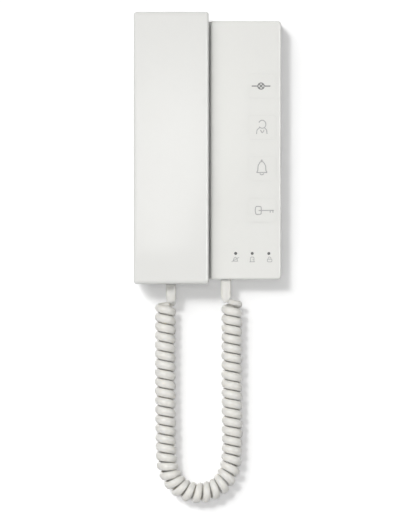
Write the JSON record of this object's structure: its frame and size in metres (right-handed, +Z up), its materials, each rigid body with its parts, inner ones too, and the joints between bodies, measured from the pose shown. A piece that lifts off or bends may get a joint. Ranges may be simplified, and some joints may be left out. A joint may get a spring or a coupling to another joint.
{
  "type": "audio intercom handset",
  "caption": "White wall intercom: a long handset rests in a cradle beside a raised console with push keys and status lights, joined by a hanging curly cord.",
  "frame": {"origin": "middle of the wall plate's back face, on the wall", "axes": "+X to the right as seen from the room, +Y into the wall, +Z up"},
  "size_m": [0.1101, 0.048, 0.3679],
  "materials": {
    "housing": "glossy moulded white",
    "wall_plate": "fine moulded texture",
    "key_plastic": "glossy moulded white",
    "plunger_plastic": "moulded black",
    "handset_plastic": "glossy moulded white",
    "board": "green solder mask",
    "switch_plastic": "moulded black",
    "led": "clear resin",
    "light_pipe": "smoked clear plastic",
    "terminal_plastic": "moulded green",
    "screw_steel": "zinc plated",
    "spring_steel": "drawn wire",
    "speaker_metal": "black painted frame",
    "microphone_metal": "bare can",
    "foam": "black foam",
    "boot_rubber": "moulded rubber",
    "jack_plastic": "moulded black",
    "plug_plastic": "clear moulded plastic",
    "cord_jacket": "satin soft jacket, warm white"
  },
  "bodies": {
    "base": {"base_back": "wall_plate", "base_front": "housing", "circuit_board": "board", "terminal_block": "terminal_plastic", "terminal_screws": "screw_steel", "key_switches": "switch_plastic", "status_leds": "led", "light_pipes": "light_pipe", "call_speaker": "speaker_metal", "speaker_gasket": "foam", "hook_switch": "switch_plastic", "hook_spring": "spring_steel", "base_jack": "jack_plastic", "board_screws": "screw_steel", "cover_screws": "screw_steel", "base_plug": "plug_plastic", "base_boot": "cord_jacket", "curly_cord": "cord_jacket", "handset_boot": "cord_jacket"},
    "handset": {"handset_front": "handset_plastic", "handset_rear": "handset_plastic", "receiver": "speaker_metal", "receiver_gasket": "foam", "microphone": "microphone_metal", "microphone_boot": "boot_rubber", "handset_jack": "jack_plastic", "handset_plug": "plug_plastic", "handset_screws": "screw_steel"},
    "hook": {"hook_button": "key_plastic"},
    "aux_button": {"aux_key": "key_plastic", "aux_plunger": "plunger_plastic"},
    "guard_button": {"guard_key": "key_plastic", "guard_plunger": "plunger_plastic"},
    "bell_button": {"bell_key": "key_plastic", "bell_plunger": "plunger_plastic"},
    "door_button": {"door_key": "key_plastic", "door_plunger": "plunger_plastic"}
  },
  "joints": [
    {"name": "handset_lift", "type": "slide", "parent": "base", "child": "handset", "axis": [0, -1, 0], "range_m": [0, 0.05]},
    {"name": "hook_release", "type": "slide", "parent": "base", "child": "hook", "axis": [0, -1, 0], "range_m": [0, 0.0034]},
    {"name": "aux_press", "type": "slide", "parent": "base", "child": "aux_button", "axis": [0, 1, 0], "range_m": [0, 0.0008], "stiffness_N_per_m": 250, "springref_m": -0.002},
    {"name": "guard_press", "type": "slide", "parent": "base", "child": "guard_button", "axis": [0, 1, 0], "range_m": [0, 0.0008], "stiffness_N_per_m": 250, "springref_m": -0.002},
    {"name": "bell_press", "type": "slide", "parent": "base", "child": "bell_button", "axis": [0, 1, 0], "range_m": [0, 0.0008], "stiffness_N_per_m": 250, "springref_m": -0.002},
    {"name": "door_press", "type": "slide", "parent": "base", "child": "door_button", "axis": [0, 1, 0], "range_m": [0, 0.0008], "stiffness_N_per_m": 250, "springref_m": -0.002}
  ],
  "couplings": [
    {"joint": "hook_release", "follows": "handset_lift", "ratio": 0.068}
  ]
}
